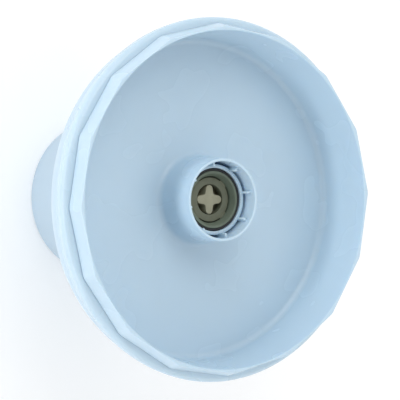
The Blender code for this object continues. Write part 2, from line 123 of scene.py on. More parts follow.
SOCKET_RADIUS = 20.6
SOCKET_BORE = 18.4
SOCKET_Z = BOSS_Z - 9.3
CHANNEL_Z = FLOOR_Z + WALL
RIBS = 8
RIB_TURN = math.radians(12)
RIB_Z = BOSS_Z - 3.6
SEAT_BORE = 10.0
VALVE_RADIUS = 18.0
VALVE_FACE_RADIUS = 16.7
VALVE_HOLE = 6.5
VALVE_BORE = 13.6
GUIDE_BORE = 8.8
PORTS = 4
PORT_HALF_ANGLE = math.radians(19)
THREAD_LEAD = 12.0
THREAD_SWEEP = math.radians(144)
THREAD_HEIGHT = 1.8
THREAD_STARTS = 2
NECK_THREAD_Z = COLLAR_Z + 5.2

SMOOTH = 35.0  # edges sharper than this many degrees stay crisp


# Mesh tools


def build_object(name, bm, finish, smooth=SMOOTH):
    bmesh.ops.recalc_face_normals(bm, faces=bm.faces[:])
    bmesh.ops.scale(bm, verts=bm.verts[:], vec=(MM, MM, MM))
    mesh = bpy.data.meshes.new(name)
    bm.to_mesh(mesh)
    bm.free()
    mesh.shade_smooth()
    mesh.set_sharp_from_angle(angle=math.radians(smooth))
    mesh.materials.append(finish)
    obj = bpy.data.objects.new(name, mesh)
    bpy.context.scene.collection.objects.link(obj)
    return obj


def show(obj, body, slot, *nodes):
    """Puts a finished piece on its body, in place of the frame's nodes."""
    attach(obj, body)
    if nodes:
        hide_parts(*nodes)
    return obj


def rounded(outline, closed=True):
    """An outline of (radius, height, corner radius) points with each corner turned into an arc."""
    points = []
    count = len(outline)
    for index, (radius, height, *fillet) in enumerate(outline):
        here = Vector((radius, height))
        fillet = fillet[0] if fillet else 0.0
        if not fillet or (not closed and index in (0, count - 1)):
            points.append(tuple(here))
            continue
        before = Vector(outline[index - 1][:2]) - here
        after = Vector(outline[(index + 1) % count][:2]) - here
        turn = before.angle(after)
        reach = min(fillet / math.tan(turn / 2), 0.49 * before.length, 0.49 * after.length)
        before.normalize()
        after.normalize()
        size = reach * math.tan(turn / 2)
        middle = here + (before + after).normalized() * size / math.sin(turn / 2)
        first = here + before * reach - middle
        last = here + after * reach - middle
        steps = max(2, round(math.degrees(math.pi - turn) / 22))
        for step in range(steps + 1):
            points.append(tuple(middle + first.slerp(last, step / steps) * size))
    return points


def arc(centre, radius, start, end, steps):
    points = []
    for step in range(steps + 1):
        angle = math.radians(start + (end - start) * step / steps)
        points.append((centre[0] + radius * math.cos(angle), centre[1] + radius * math.sin(angle)))
    return points


def even_turns(steps):
    return [math.tau * step / steps for step in range(steps)]


def facet_turns():
    """Turns for the lid: close together at each soft corner of the rim, and even along the facets."""
    offsets = [math.radians(x) for x in (0.0, 0.35, 0.7, 1.1, 2.4, 4.4, 6.6, 8.9)]
    half = offsets + [FACET - x for x in reversed(offsets[1:])]
    middle = [FACET / 2]
    turns = sorted(half + middle)
    return [FACET * facet + turn for facet in range(FACETS) for turn in turns]


def facet_reach(corner, turn):
    """Distance from the axis to a facet, whose corners are softened to a large radius."""
    soft = 8.0
    apothem = corner * math.cos(FACET / 2)
    off_corner = min(turn % FACET, FACET - turn % FACET)
    tangent = FACET / 2 - math.atan((apothem - soft) * math.tan(FACET / 2) / apothem)
    if off_corner > tangent:
        return apothem / math.cos(FACET / 2 - off_corner)
    centre = (apothem - soft) / math.cos(FACET / 2)
    side = centre * math.sin(off_corner)
    return centre * math.cos(off_corner) + math.sqrt(soft**2 - side**2)


def lathe(outline, turns, facets=(), closed=True):
    """A surface of revolution. facets holds the indices of outline points on the faceted rim."""
    bm = bmesh.new()
    rings = []
    for index, (radius, height) in enumerate(outline):
        if radius < 1e-6:
            rings.append([bm.verts.new((0.0, 0.0, height))])
            continue
        ring = []
        for turn in turns:
            reach = facet_reach(radius, turn) if index in facets else radius
            angle = turn + FACET_TURN
            ring.append(bm.verts.new((reach * math.cos(angle), reach * math.sin(angle), height)))
        rings.append(ring)
    pairs = list(zip(rings, rings[1:]))
    if closed:
        pairs.append((rings[-1], rings[0]))
    for first, second in pairs:
        if len(first) == 1 and len(second) == 1:
            continue
        if len(first) == 1:
            first, second = second, first
        many = len(first)
        for step in range(many):
            ahead = (step + 1) % many
            if len(second) == 1:
                bm.faces.new((first[step], first[ahead], second[0]))
            else:
                bm.faces.new((first[step], first[ahead], second[ahead], second[step]))
    return bm


def rotated(points, turn):
    cos, sin = math.cos(turn), math.sin(turn)
    return [(x * cos - y * sin, x * sin + y * cos) for x, y in points]


def prism(bm, outline, bottom, top):
    lower = [bm.verts.new((x, y, bottom)) for x, y in outline]
    upper = [bm.verts.new((x, y, top)) for x, y in outline]
    faces = [bm.faces.new(lower), bm.faces.new(upper)]
    count = len(outline)
    for step in range(count):
        ahead = (step + 1) % count
        faces.append(bm.faces.new((lower[step], lower[ahead], upper[ahead], upper[step])))
    return faces


def soften(bm, width, segments=2, angle=30.0):
    """Bevels the sharp edges of a mesh."""
    bmesh.ops.recalc_face_normals(bm, faces=bm.faces[:])
    limit = math.radians(angle)
    edges = [edge for edge in bm.edges if edge.is_manifold and edge.calc_face_angle() > limit]
    bmesh.ops.bevel(bm, geom=edges, offset=width, segments=segments, profile=0.5, affect="EDGES")


def rounded_flat(corners, radius):
    """A flat outline with its corners rounded."""
    return rounded([(*corner, radius) for corner in corners])


def block(x_range, y_range):
    (left, right), (front, back) = x_range, y_range
    return [(left, front), (right, front), (right, back), (left, back)]


def cut(obj, bm):
    """Cuts a mesh out of an object and applies the result."""
    helper = build_object("cutter", bm, obj.data.materials[0])
    modifier = obj.modifiers.new("cut", "BOOLEAN")
    modifier.solver = "EXACT"
    modifier.operation = "DIFFERENCE"
    modifier.object = helper
    graph = bpy.context.evaluated_depsgraph_get()
    mesh = bpy.data.meshes.new_from_object(obj.evaluated_get(graph))
    obj.modifiers.clear()
    obj.data = mesh
    mesh.shade_smooth()
    mesh.set_sharp_from_angle(angle=math.radians(SMOOTH))
    bpy.data.objects.remove(helper)


# Materials


class Nodes:
    """A short way to add nodes to a material."""

    def __init__(self, name):
        self.material = bpy.data.materials.new(name)
        self.material.use_nodes = True
        self.tree = self.material.node_tree
        self.shader = self.tree.nodes["Principled BSDF"]
        self.place = self.add("ShaderNodeTexCoord").outputs["Object"]

    def add(self, kind, **values):
        node = self.tree.nodes.new(kind)
        for key, value in values.items():
            setattr(node, key, value)
        return node

    def link(self, output, node, socket):
        self.tree.links.new(output, node.inputs[socket])

    def noise(self, scale, detail=3.0, stretch=None):
        node = self.add("ShaderNodeTexNoise")
        node.inputs["Scale"].default_value = scale
        node.inputs["Detail"].default_value = detail
        source = self.place
        if stretch:
            mapping = self.add("ShaderNodeMapping")
            mapping.inputs["Scale"].default_value = stretch
            self.link(source, mapping, "Vector")
            source = mapping.outputs["Vector"]
        self.link(source, node, "Vector")
        return node.outputs["Fac"]

    def between(self, factor, low_value, high_value, start=0.3, end=0.7):
        node = self.add("ShaderNodeMapRange")
        node.inputs["From Min"].default_value = start
        node.inputs["From Max"].default_value = end
        node.inputs["To Min"].default_value = low_value
        node.inputs["To Max"].default_value = high_value
        self.link(factor, node, "Value")
        return node.outputs["Result"]

    def mix(self, factor, first, second):
        node = self.add("ShaderNodeMix", data_type="RGBA")
        for socket, value in ((0, factor), (6, first), (7, second)):
            if isinstance(value, bpy.types.NodeSocket):
                self.tree.links.new(value, node.inputs[socket])
            elif isinstance(value, tuple):
                node.inputs[socket].default_value = (*value, 1.0)
            else:
                node.inputs[socket].default_value = value
        return node.outputs[2]

    def bump(self, height, strength, distance, under=None):
        node = self.add("ShaderNodeBump")
        node.inputs["Strength"].default_value = strength
        node.inputs["Distance"].default_value = distance
        self.link(height, node, "Height")
        if under:
            self.link(under, node, "Normal")
        return node.outputs["Normal"]


def linear(red, green, blue):
    def channel(value):
        value /= 255
        return value / 12.92 if value <= 0.04045 else ((value + 0.055) / 1.055) ** 2.4

    return (channel(red), channel(green), channel(blue))


def moulded_plastic(name, colour, painted_shade_colour, roughness=0.25):
    """Moulded plastic: faint flow streaks, a fine grain, a painted highlight on sharp edges and painted shade
    in corners.
    """
    n = Nodes(name)
    cloud = n.between(n.noise(9.0, 2.0), 0.0, 1.0, 0.1, 0.9)
    streak = n.between(n.noise(55.0, 2.0, stretch=(1.0, 1.0, 0.12)), 0.0, 1.0, 0.15, 0.85)
    base = n.mix(cloud, colour, tuple(0.975 * c for c in colour))
    shifted = n.mix(streak, base, tuple(min(1.0, 1.01 * c) for c in colour))
    # Painted shade: ambient occlusion darkens corners, crevices and the gaps between parts towards the
    # painted shade colour.
    corner = n.add("ShaderNodeAmbientOcclusion", samples=8)
    corner.inputs["Distance"].default_value = 0.009
    painted_corner_shade = n.between(corner.outputs["AO"], 0.2, 0.0, 0.25, 0.85)
    shaded = n.mix(painted_corner_shade, shifted, painted_shade_colour)
    # Painted highlight: sharp edges are lightened in place of the highlight that a rounded edge catches.
    edge = n.add("ShaderNodeNewGeometry").outputs["Pointiness"]
    edge_highlight = n.between(edge, 0.0, 0.35, 0.515, 0.6)
    finished = n.mix(edge_highlight, shaded, tuple(min(1.0, 1.12 * c + 0.04) for c in colour))
    n.link(finished, n.shader, "Base Color")
    smear = n.noise(26.0, 2.0)
    n.link(n.between(smear, roughness - 0.04, roughness + 0.07, 0.15, 0.85), n.shader, "Roughness")
    grain = n.bump(n.noise(1500.0, 2.0), 0.10, 0.00012)
    wave = n.bump(n.noise(38.0, 2.0), 0.09, 0.0006, grain)
    n.link(wave, n.shader, "Normal")
    n.shader.inputs["Subsurface Weight"].default_value = 0.2
    n.shader.inputs["Subsurface Radius"].default_value = (0.6, 0.8, 1.0)
    n.shader.inputs["Subsurface Scale"].default_value = 0.003
    n.shader.inputs["IOR"].default_value = 1.49
    return n.material


def matt_plastic(name, colour, roughness=0.55):
    """Unpolished moulded plastic with a coarser grain and a painted highlight on sharp edges."""
    n = Nodes(name)
    cloud = n.between(n.noise(120.0, 5.0), 0.0, 1.0)
    base = n.mix(cloud, colour, tuple(0.82 * c for c in colour))
    # Painted highlight: sharp edges are lightened in place of the highlight that a rounded edge catches.
    edge = n.add("ShaderNodeNewGeometry").outputs["Pointiness"]
    edge_highlight = n.between(edge, 0.0, 0.5, 0.515, 0.62)
    n.link(n.mix(edge_highlight, base, tuple(min(1.0, 1.35 * c + 0.03) for c in colour)), n.shader, "Base Color")
    n.link(n.between(n.noise(300.0, 4.0), roughness - 0.08, roughness + 0.08), n.shader, "Roughness")
    n.link(n.bump(n.noise(1400.0, 3.0), 0.25, 0.0001), n.shader, "Normal")
    n.shader.inputs["IOR"].default_value = 1.49
    return n.material


def rubber(name):
    """Black rubber with a bloom of pale dust and a fine moulded skin."""
    n = Nodes(name)
    dust = n.between(n.noise(180.0, 6.0), 0.0, 0.1, 0.45, 0.8)
    n.link(n.mix(dust, (0.012, 0.012, 0.014), (0.06, 0.06, 0.065)), n.shader, "Base Color")
    n.link(n.between(n.noise(420.0, 4.0), 0.42, 0.62), n.shader, "Roughness")
    n.link(n.bump(n.noise(1800.0, 2.0), 0.3, 0.0001), n.shader, "Normal")
    return n.material


def foam(name):
    """Closed-cell foam: small round cells under a cut skin."""
    n = Nodes(name)
    cells = n.add("ShaderNodeTexVoronoi")
    cells.inputs["Scale"].default_value = 520.0
    n.link(n.place, cells, "Vector")
    cell = n.between(cells.outputs["Distance"], 0.0, 1.0, 0.0, 0.6)
    n.link(n.mix(cell, (0.72, 0.75, 0.76), (0.88, 0.89, 0.9)), n.shader, "Base Color")
    n.link(n.between(n.noise(90.0), 0.82, 0.95), n.shader, "Roughness")
    n.link(n.bump(cells.outputs["Distance"], 0.6, 0.0006), n.shader, "Normal")
    return n.material


def steel(name):
    """Turned stainless steel with fine lathe marks and a little staining."""
    n = Nodes(name)
    stain = n.between(n.noise(210.0, 5.0), 0.0, 0.4)
    n.link(n.mix(stain, (0.6, 0.6, 0.59), (0.42, 0.41, 0.38)), n.shader, "Base Color")
    marks = n.noise(900.0, 4.0, stretch=(1.0, 1.0, 8.0))
    n.link(n.between(marks, 0.22, 0.42), n.shader, "Roughness")
    n.link(n.bump(marks, 0.2, 0.00005), n.shader, "Normal")
    n.shader.inputs["Metallic"].default_value = 1.0
    return n.material


# The second colour of each blue plastic is the painted shade in its corners.
PALE_BLUE = moulded_plastic("pale_blue_plastic", linear(190, 213, 229), linear(152, 180, 204))
HULL_BLUE = moulded_plastic("hull_blue_plastic", linear(188, 209, 225), linear(150, 175, 199), 0.38)
CANISTER_BLUE = moulded_plastic("canister_blue_plastic", linear(180, 200, 215), linear(146, 170, 194), 0.36)
GREY = matt_plastic("valve_grey_plastic", linear(108, 119, 103))
HUB_GREY = matt_plastic("retainer_grey_plastic", linear(106, 110, 91))
BEIGE = matt_plastic("stem_beige_plastic", linear(160, 158, 134), 0.48)
BLACK = rubber("black_rubber")
FOAM = foam("white_foam")
STEEL = steel("stainless_steel")


# Lid


def make_lid():
    """The dish: soft-cornered facets outside, a flared wall, a coved floor and the valve's boss."""
    cove = (WALL_FOOT - COVE, FLOOR_Z + COVE)
    rim = [(RIM_RADIUS, HEIGHT - 1.0), (RIM_RADIUS + 0.1, HEIGHT - 0.5), (RIM_RADIUS + 0.3, HEIGHT - 0.15)]
    rim += [(RIM_RADIUS + 0.55, HEIGHT)]
    facet_start = len(rim)
    rim += [(RIM_CORNER - 0.55, HEIGHT), (RIM_CORNER - 0.2, HEIGHT - 0.12), (RIM_CORNER, HEIGHT - 0.45)]
    rim += [(RIM_CORNER + 0.06, HEIGHT - 0.9)]
    drafts = 4
    for step in range(drafts):
        share = step / (drafts - 1)
        reach = RIM_CORNER + 0.1 + (SKIRT_CORNER - RIM_CORNER - 0.1) * share
        rim.append((reach, HEIGHT - 1.3 + (SKIRT_Z + 0.5 - HEIGHT + 1.3) * share))
    rim += [(SKIRT_CORNER - 0.1, SKIRT_Z + 0.12), (SKIRT_CORNER - 0.45, SKIRT_Z)]
    facet_end = len(rim)
    body = [(SKIRT_INNER, SKIRT_Z)]
    body += arc(cove, COVE + WALL, 0, -90, 8)
    body += [(COLLAR_RADIUS, UNDER_Z), (COLLAR_RADIUS, COLLAR_Z + 0.5), (COLLAR_RADIUS - 0.5, COLLAR_Z)]
    body += [(COLLAR_BORE + 0.6, COLLAR_Z), (COLLAR_BORE, COLLAR_Z + 0.6), (COLLAR_BORE, UNDER_Z)]
    body += [(SEAT_BORE, UNDER_Z), (SEAT_BORE, FLOOR_Z)]
    socket = [(SOCKET_BORE, FLOOR_Z), (SOCKET_BORE, SOCKET_Z, 0.5), (SOCKET_RADIUS, SOCKET_Z, 0.7)]
    socket += [(SOCKET_RADIUS - 0.2, CHANNEL_Z, 0.5), (BOSS_BORE, CHANNEL_Z, 0.5), (BOSS_BORE, BOSS_Z, 0.7)]
    socket += [(BOSS_RADIUS, BOSS_Z, 0.6), (BOSS_FOOT - 0.3, FLOOR_Z + 9.0, 9.0)]
    socket += [(BOSS_FOOT + 0.3, FLOOR_Z, BOSS_FILLET), (BOSS_FOOT + 12.0, FLOOR_Z)]
    socket = rounded(socket, closed=False)
    floor = [(reach, FLOOR_Z) for reach in (50.0, 65.0, 78.0)]
    outline = rim + body + socket + floor + arc(cove, COVE, -90, 0, 8)
    wall_steps = 5
    wall_low, wall_high = FLOOR_Z + COVE, HEIGHT - 1.0
    for step in range(1, wall_steps):
        share = step / wall_steps
        outline.append((WALL_FOOT + RIM_DRAFT * share, wall_low + (wall_high - wall_low) * share))
    facets = set(range(facet_start, facet_end))
    lid = build_object("lid_dish_moulding", lathe(outline, facet_turns(), facets), PALE_BLUE, 40.0)
    show(lid, "lid", "pale_blue", "lid_dish")


def make_boss_ribs():
    """The thin ribs across the channel between the boss and the valve's socket."""
    for rib in range(RIBS):
        bm = bmesh.new()
        turn = RIB_TURN + math.tau * rib / RIBS
        across = block((SOCKET_RADIUS - 0.9, BOSS_BORE + 0.6), (-0.6, 0.6))
        prism(bm, rotated(across, turn), CHANNEL_Z - 0.5, RIB_Z)
        soften(bm, 0.2)
        show(build_object(f"boss_rib_{rib + 1}", bm, PALE_BLUE), "lid", "pale_blue")


def helical_ridge(root, tip, height, first):
    """One ridge of the thread, with soft flanks and ends that run out."""
    bm = bmesh.new()
    steps = 60
    sunk = root + math.copysign(0.5, root - tip)
    sections = []
    for step in range(steps + 1):
        share = step / steps
        angle = THREAD_SWEEP * share
        middle = height + THREAD_LEAD * angle / math.tau
        rise = min(1.0, 12 * share, 12 * (1 - share))
        reach = root + (tip - root) * math.sqrt(rise)
        section = [(sunk, -1.45), (root + 0.15 * (reach - root), -1.25), (reach, -0.7)]
        section += [(reach, 0.7), (root + 0.15 * (reach - root), 1.25), (sunk, 1.45)]
        cos, sin = math.cos(first + angle), math.sin(first + angle)
        sections.append([bm.verts.new((r * cos, r * sin, middle + z)) for r, z in section])
    sides = len(sections[0])
    for before, after in zip(sections, sections[1:]):
        for side in range(sides):
            ahead = (side + 1) % sides
            bm.faces.new((before[side], before[ahead], after[ahead], after[side]))
    bm.faces.new(sections[0])
    bm.faces.new(sections[-1])
    return bm


def make_threads():
    """The ridges on the canister's neck, and the ones in the lid's collar that run between them."""
    for start in range(THREAD_STARTS):
        first = math.tau * start / THREAD_STARTS + math.radians(10)
        neck = helical_ridge(CANISTER_RADIUS, CANISTER_RADIUS + THREAD_HEIGHT, NECK_THREAD_Z, first)
        show(build_object(f"neck_thread_{start + 1}", neck, PALE_BLUE), "float", "pale_blue")
        between = NECK_THREAD_Z - THREAD_LEAD / THREAD_STARTS / 2
        collar = helical_ridge(COLLAR_BORE, COLLAR_BORE - THREAD_HEIGHT, between, first)
        show(build_object(f"collar_thread_{start + 1}", collar, PALE_BLUE), "lid", "pale_blue")


# Float


def make_rim_ring():
    """The rounded band, with its flat ledge under the facets."""
    bead_z = HEIGHT - 13.3
    bead_round = 3.4
    bead = arc((BEAD_RADIUS - bead_round, bead_z), bead_round, 82, -16, 12)
    outline = [(SKIRT_INNER + 0.5, LEDGE_Z)] + bead
    lower = [(BEAD_RADIUS - 0.15, bead_z - 1.0), (BEAD_RADIUS - 0.5, LIP_Z, 0.5)]
    lower += [(HULL_RADIUS + 0.3, LIP_Z, 0.3)]
    lower += [(HULL_RADIUS + 0.3, LEDGE_Z - 2.0), (HULL_BORE - 0.3, LEDGE_Z - 2.0)]
    lower += [(HULL_BORE - 0.3, bead_z - 3.0), (SKIRT_INNER + 0.5, bead_z - 3.0)]
    outline += rounded(lower, closed=False)
    ring = build_object("rim_ring_moulding", lathe(outline, even_turns(240)), PALE_BLUE)
    show(ring, "float", "pale_blue", "float_rim_ring")


def make_pan():
    """The hull: an upright rim, a rounded bilge, and a cone that runs in to the canister's flange."""
    bilge, bilge_angle = 16.0, 40
    bilge_reach, bilge_z = 102.3, 126.0
    centre = (bilge_reach - bilge, bilge_z)
    outer = arc(centre, bilge, 0, -bilge_angle, 10)
    inner = arc(centre, bilge - WALL, -bilge_angle, 0, 8)
    fall = math.tan(math.radians(bilge_angle))
    cone_end = PAN_Z + 4.0
    cone_outer = outer[-1][0] - (outer[-1][1] - cone_end) * fall
    cone_inner = inner[0][0] - (inner[0][1] - cone_end - WALL) * fall
    lower = [outer[-1], (cone_outer + 3.3, cone_end + 4.0), (cone_outer - 2.5, PAN_Z, 8.0)]
    lower += [(FLANGE_RADIUS + 0.6, PAN_Z, 0.6), (FLANGE_RADIUS + 0.6, PAN_LOW_Z, 0.6)]
    lower += [(CANISTER_RADIUS + 0.6, PAN_LOW_Z, 0.4), (CANISTER_RADIUS + 0.6, PAN_Z + WALL, 0.2)]
    lower += [(cone_inner - 3.0, PAN_Z + WALL, 6.0), inner[0]]
    outline = [(HULL_RADIUS, HULL_TOP_Z)] + outer[:-1] + rounded(lower, closed=False) + inner[1:]
    outline += [(HULL_BORE, HULL_TOP_Z)]
    pan = build_object("hull_moulding", lathe(outline, even_turns(240)), HULL_BLUE)
    show(pan, "float", "float_blue", "float_pan")


def make_foam_cover():
    """The deck plate over the foam, with a short inner rim."""
    cover_low, cover_high = low("foam_cover"), high("foam_cover")
    edge = cover_high.x / math.cos(FACET_TURN)
    inner, top = 56.0, cover_high.z
    outline = [(inner, cover_low.z, 0.3), (inner + 1.6, cover_low.z, 0.3), (inner + 1.6, top - 1.8, 0.5)]
    outline += [(edge - 1.5, top - 1.8, 0.3), (edge, top, 0.3), (inner, top, 0.5)]
    cover = build_object("foam_cover_plate", lathe(rounded(outline), even_turns(192)), HULL_BLUE)
    show(cover, "float", "float_blue", "foam_cover")


# Canister


def port_cutters(bottom, top):
    """Four sectors, which are cut out of both the canister's web and the dial."""
    inner, outer = 12.0, 38.0
    half_steps = 8
    bm = bmesh.new()
    for port in range(PORTS):
        middle = math.tau * (port + 0.5) / PORTS
        outline = []
        for radius, direction in ((outer, 1), (inner, -1)):
            for step in range(2 * half_steps + 1):
                angle = middle + direction * PORT_HALF_ANGLE * (step / half_steps - 1)
                outline.append((radius * math.cos(angle), radius * math.sin(angle)))
        prism(bm, outline, bottom, top)
    return bm


def make_canister():
    """The tablet tube: rounded foot, ported web, screw flange and neck."""
    boss_radius, boss_top = 7.0, 26.0
    screw_bore, screw_end = 2.6, boss_top - 2.0
    flange_low, flange_top = PAN_Z + 3.8, PAN_Z + 6.2
    outline = [(0.0, boss_top), (boss_radius, boss_top, 0.5), (boss_radius, WEB_TOP, 1.0)]
    outline += [(CANISTER_BORE, WEB_TOP, 1.2), (CANISTER_BORE, NECK_Z, 0.6), (CANISTER_RADIUS, NECK_Z, 0.6)]
    outline += [(CANISTER_RADIUS, flange_top, 0.8), (FLANGE_RADIUS, flange_top, 0.4)]
    outline += [(FLANGE_RADIUS, flange_low, 0.4), (CANISTER_RADIUS, flange_low, 0.2)]
    outline += [(CANISTER_RADIUS, 60.0), (CANISTER_RADIUS, 30.0), (CANISTER_RADIUS, 0.0, 1.3)]
    outline += [(CANISTER_FOOT_BORE, 0.0, 0.7), (CANISTER_FOOT_BORE, WEB_Z, 0.6)]
    outline += [(screw_bore, WEB_Z, 0.2), (screw_bore, screw_end), (0.0, screw_end)]
    tube = lathe(rounded(outline, closed=False), even_turns(192), closed=False)
    canister = build_object("canister_moulding", tube, CANISTER_BLUE)
    cut(canister, port_cutters(WEB_Z - 2.0, WEB_TOP + 1.5))
    show(canister, "float", "pale_blue", "tablet_canister")


def make_grate():
    """The slotted plate that keeps the tablets above the ports."""
    radius = CANISTER_BORE - 0.5
    hole = 7.8
    plate = GRATE_TOP - WALL
    outline = [(hole, plate, 0.3), (radius - 1.8, plate, 0.5), (radius - 1.8, GRATE_LOW, 0.3)]
    outline += [(radius, GRATE_LOW, 0.3), (radius, GRATE_TOP, 0.5), (hole, GRATE_TOP, 0.4)]
    grate = build_object("grate_moulding", lathe(rounded(outline), even_turns(144)), HULL_BLUE)
    bm = bmesh.new()
    reach = radius - 4.5
    slot, pitch, slot_round = 2.5, 10.0, 2.0  # the slots' half width, spacing and corner radius
    first = pitch + 1.0
    slots = []
    for side in (-1, 1):
        for number in range(3):
            x = side * (first + pitch * number)
            half = math.sqrt(reach**2 - (abs(x) + slot) ** 2)
            slots.append(block((x - slot, x + slot), (-half, half)))
        slots.append(block((-slot, slot), sorted((side * first, side * (reach - 1.0)))))
    for corners in slots:
        prism(bm, rounded_flat(corners, slot_round), plate - 1.0, GRATE_TOP + 1.0)
    cut(grate, bm)
    show(grate, "float", "float_blue", "tablet_grate")


def make_dial():
    """The dial with its grip bar, and finger ribs along the bar."""
    bottom = DIAL_TOP - 3.0
    edge, hub, recess, bore = CANISTER_FOOT_BORE - 0.5, 8.6, 5.6, 2.7
    seat_z = 7.6
    outline = [(bore, DIAL_TOP, 0.2), (edge, DIAL_TOP, 0.5), (edge, bottom, 0.5), (hub, bottom, 0.8)]
    outline += [(hub, DIAL_LOW, 0.6), (recess, DIAL_LOW, 0.4), (recess, seat_z, 0.2), (bore, seat_z, 0.2)]
    dial = build_object("dial_moulding", lathe(rounded(outline), even_turns(192)), HULL_BLUE)
    cut(dial, port_cutters(bottom - 1.0, DIAL_TOP + 1.0))
    show(dial, "dial", "float_blue", "dosing_dial")
    for number, turn in enumerate((0.0, math.pi), 1):
        bm = bmesh.new()
        bar = rounded_flat(block((7.0, 37.5), (-3.6, 3.6)), 3.0)
        prism(bm, rotated(bar, turn), DIAL_LOW + 0.6, bottom + 0.6)
        soften(bm, 0.8, 3)
        show(build_object(f"dial_grip_{number}", bm, HULL_BLUE), "dial", "float_blue")
        for place in range(5):
            bm = bmesh.new()
            start = 14.0 + 4.2 * place
            rib = block((start, start + 1.6), (-4.2, 4.2))
            prism(bm, rotated(rib, turn), DIAL_LOW + 2.0, bottom + 0.4)
            soften(bm, 0.5, 2)
            rib_name = f"grip_rib_{number}_{place + 1}"
            show(build_object(rib_name, bm, HULL_BLUE), "dial", "float_blue")


def make_dial_screw():
    """The pivot screw, with a hexagonal socket."""
    head_low, top = low("dial_screw").z, high("dial_screw").z
    head_top = head_low + 2.6
    shank, head, socket = 2.3, 4.8, 2.1
    outline = [(0.0, top), (1.4, top, 0.2), (shank, top - 1.2, 0.2), (shank, head_top), (head, head_top, 0.3)]
    outline += [(head, head_low, 0.9), (0.0, head_low)]
    turning = lathe(rounded(outline, closed=False), even_turns(96), closed=False)
    screw = build_object("dial_screw_head", turning, STEEL)
    bm = bmesh.new()
    hexagon = [(socket * math.cos(turn), socket * math.sin(turn)) for turn in even_turns(6)]
    prism(bm, hexagon, head_low - 1.0, head_low + 1.5)
    cut(screw, bm)
    show(screw, "float", "stainless", "dial_screw")


# Valve


def make_valve_body():
    """The grey cup, whose mouth slopes down to the retainer."""
    shoulder = VALVE_FACE_Z - 2.0
    bottom = VALVE_LOW_Z
    mouth = 15.4
    outline = [(VALVE_HOLE, bottom, 0.2), (VALVE_RADIUS, bottom, 0.5), (VALVE_RADIUS, shoulder, 0.2)]
    outline += [(VALVE_FACE_RADIUS, shoulder, 0.2), (VALVE_FACE_RADIUS, VALVE_FACE_Z, 0.35)]
    outline += [(mouth, VALVE_FACE_Z, 0.6), (VALVE_BORE, RETAINER_Z + 0.6, 0.4)]
    outline += [(VALVE_BORE, bottom + WALL, 0.5), (VALVE_HOLE, bottom + WALL, 0.3)]
    body = build_object("valve_body_moulding", lathe(rounded(outline), even_turns(144)), GREY)
    show(body, "lid", "valve_grey", "valve_body")


def make_o_ring():
    """The seal that lies round the valve's face."""
    radius, thickness = 17.5, 1.5
    section = arc((radius, VALVE_FACE_Z - 0.8), thickness / 2, 0, 340, 17)
    ring = build_object("o_ring_seal", lathe(section, even_turns(144)), BLACK)
    show(ring, "lid", "black_rubber", "valve_o_ring")


def make_retainer():
    """The guide round the stem, with the four lugs that snap into the valve's body."""
    bottom = RETAINER_Z - 1.8
    radius = VALVE_BORE - 0.7
    sleeve = GUIDE_BORE + 0.9
    outline = [(GUIDE_BORE, RETAINER_Z, 0.5), (radius, RETAINER_Z, 0.3), (radius, bottom, 0.3)]
    outline += [(sleeve, bottom, 0.3), (sleeve, GUIDE_LOW, 0.2), (GUIDE_BORE, GUIDE_LOW, 0.2)]
    guide = build_object("retainer_moulding", lathe(rounded(outline), even_turns(144)), HUB_GREY)
    show(guide, "lid", "valve_grey", "valve_retainer")
    half_angle, half_steps = math.radians(11), 3
    for lug in range(4):
        bm = bmesh.new()
        outline = []
        for reach, direction in ((VALVE_BORE - 0.02, 1), (radius - 0.6, -1)):
            for step in range(2 * half_steps + 1):
                angle = math.radians(45 + 90 * lug) + direction * half_angle * (step / half_steps - 1)
                outline.append((reach * math.cos(angle), reach * math.sin(angle)))
        prism(bm, outline, bottom + 0.3, RETAINER_Z - 0.12)
        soften(bm, 0.06, 1)
        show(build_object(f"retainer_lug_{lug + 1}", bm, HUB_GREY), "lid", "valve_grey")


def cross_outline():
    """The stem's section: four round-ended lobes with curved corners between them."""
    half_width = 2.4
    reach = GUIDE_BORE - 0.35 - half_width
    outline = []
    for lobe in range(4):
        end = arc((reach, 0.0), half_width, -90, 90, 12)
        corner = [(3.9, 2.75), (3.4, 2.95), (2.95, 3.4), (2.75, 3.9)]
        outline += rotated(end + corner, math.radians(90 * lobe))
    return outline


def make_poppet():
    """The valve's head with its spigot, and the cross-shaped stem on it."""
    head_z = STEM_LOW + 3.0
    spigot, head_radius = 5.2, 11.3
    outline = [(0.0, STEM_LOW), (spigot, STEM_LOW, 0.5), (spigot, head_z, 0.2), (head_radius, head_z, 0.3)]
    outline += [(head_radius, head_z + WALL, 0.5), (0.0, head_z + WALL)]
    points = rounded(outline, closed=False)
    head = build_object("poppet_head", lathe(points, even_turns(96), closed=False), BEIGE)
    show(head, "poppet", "stem_beige", "valve_poppet")
    bm = bmesh.new()
    prism(bm, cross_outline(), head_z + 1.5, STEM_TOP)
    soften(bm, 0.35, 3, 50.0)
    stem = build_object("poppet_stem", bm, BEIGE)
    show(stem, "poppet", "stem_beige")


def make_spring():
    """The coil between the poppet's head and the retainer, built at one fixed length, though the real one
    shortens as the poppet rises.
    """
    wire, coil_radius = 0.35, 10.5
    turns, steps, sides = 2, 64, 10
    bottom, top = low("valve_spring").z, high("valve_spring").z
    bm = bmesh.new()
    rings = []
    for step in range(turns * steps + 1):
        share = step / (turns * steps)
        angle = math.tau * turns * share
        middle = bottom + wire + (top - bottom - 2 * wire) * share
        ring = []
        for side in even_turns(sides):
            reach = coil_radius + wire * math.cos(side)
            height = middle + wire * math.sin(side)
            ring.append(bm.verts.new((reach * math.cos(angle), reach * math.sin(angle), height)))
        rings.append(ring)
    for before, after in zip(rings, rings[1:]):
        for side in range(sides):
            ahead = (side + 1) % sides
            bm.faces.new((before[side], before[ahead], after[ahead], after[side]))
    bm.faces.new(rings[0])
    bm.faces.new(rings[-1])
    spring = build_object("valve_spring_coil", bm, STEEL)
    show(spring, "lid", "stainless", "valve_spring")
    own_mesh(spring)


